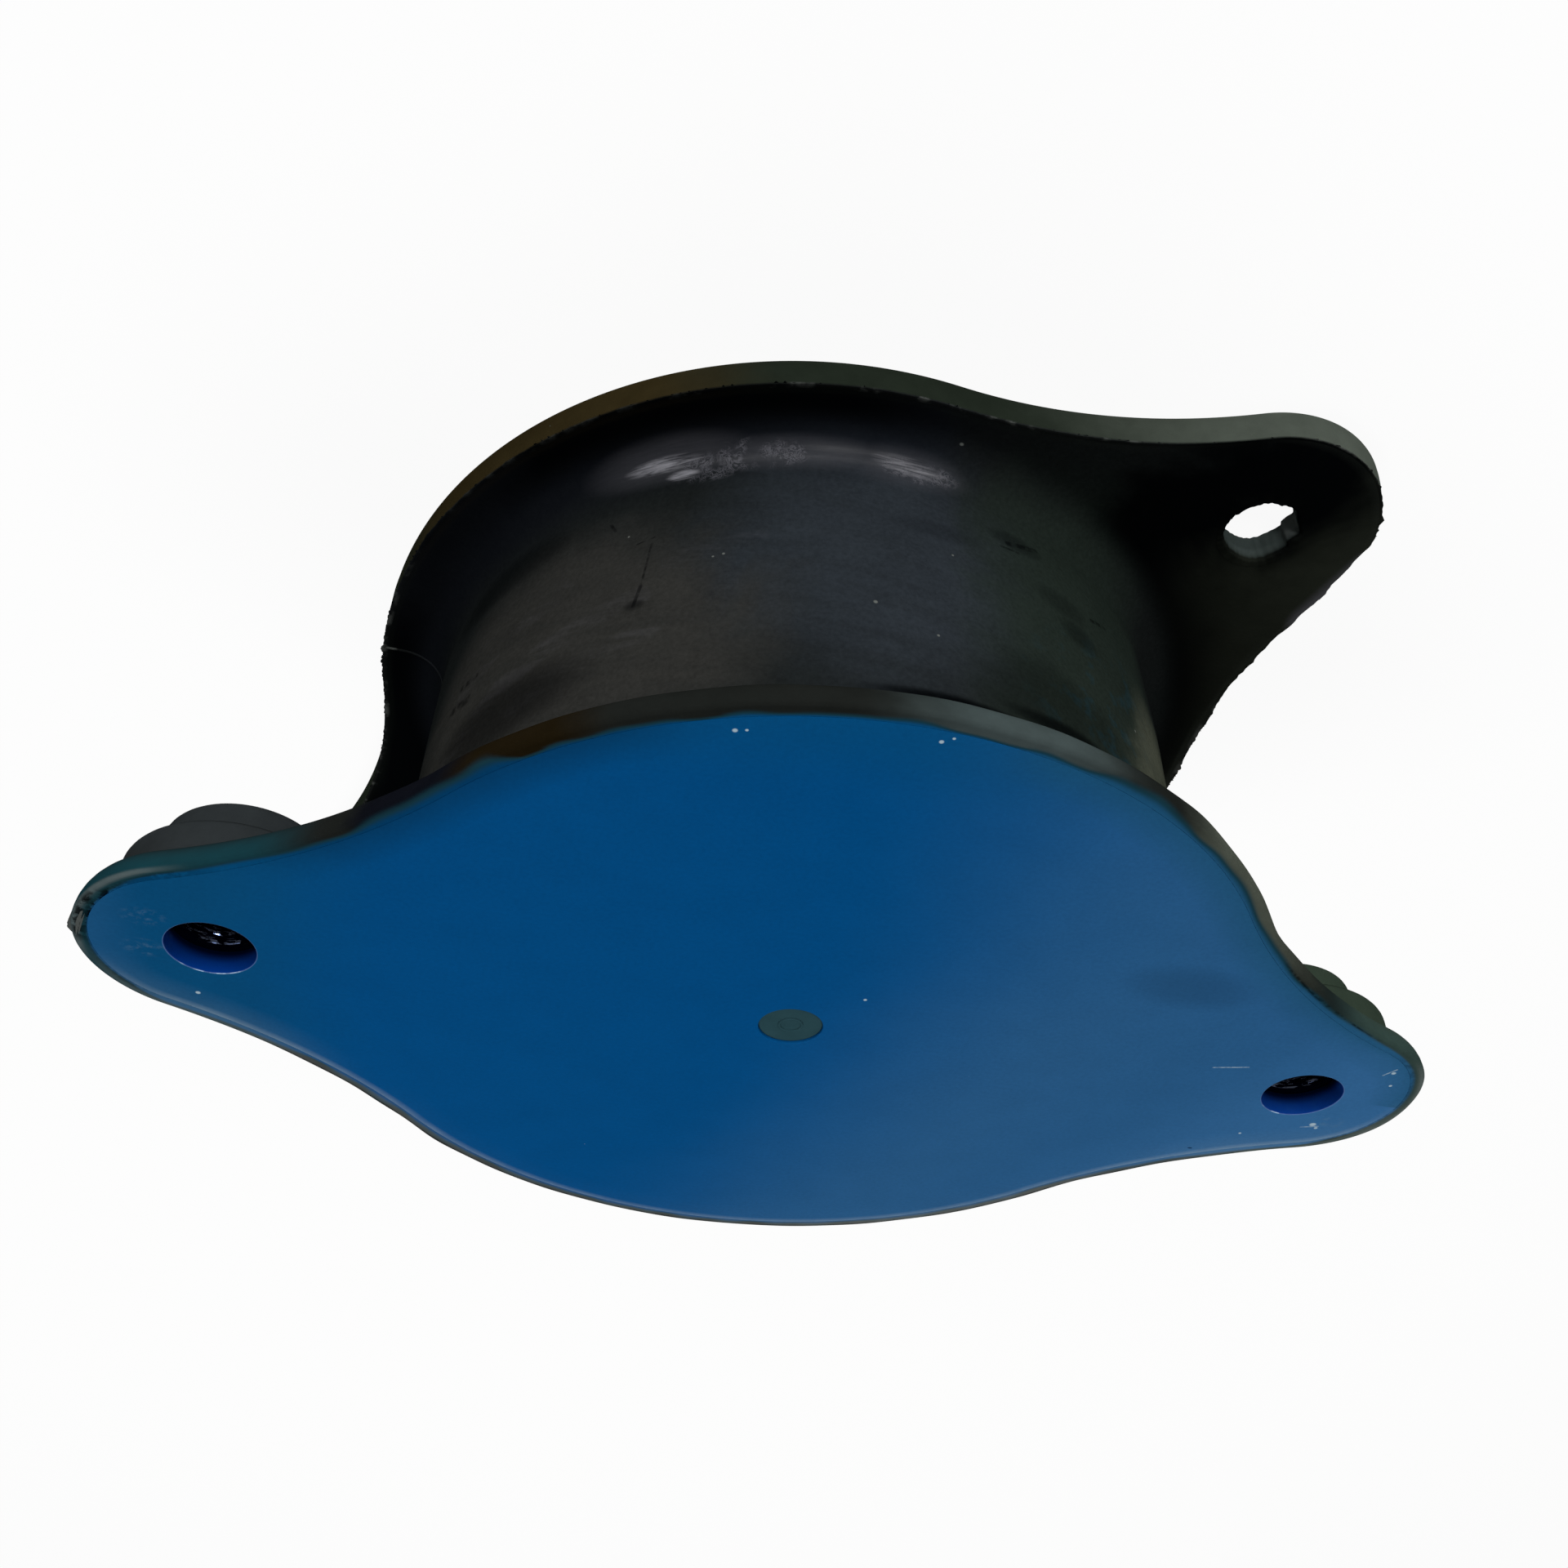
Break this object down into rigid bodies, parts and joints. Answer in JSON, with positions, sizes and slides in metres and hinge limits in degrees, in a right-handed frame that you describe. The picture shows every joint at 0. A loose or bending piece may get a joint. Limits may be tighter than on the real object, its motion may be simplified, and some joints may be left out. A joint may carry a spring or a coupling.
{
  "type": "rubber buffer",
  "caption": "Rubber buffer: a round rubber block moulded between eared steel plates turned 45 degrees to each other, with bolt holes behind and threaded bosses in front.",
  "frame": {"origin": "centre of the rear plate's open face, which the buffer stands on", "axes": "+Z along the block's axis from the rear plate to the front plate; X through both bolt holes of the front plate; the rear plate's bolt holes lie 45 degrees from X, between +X and +Y"},
  "size_m": [0.275, 0.209, 0.09],
  "materials": {
    "blue_paint": "satin",
    "black_rubber": "matte",
    "bush_steel": "oily"
  },
  "bodies": {
    "root": {"front_plate": "blue_paint", "rear_plate": "blue_paint", "rubber_body": "black_rubber", "threaded_bush_left": "bush_steel", "threaded_bush_right": "bush_steel"}
  },
  "joints": []
}
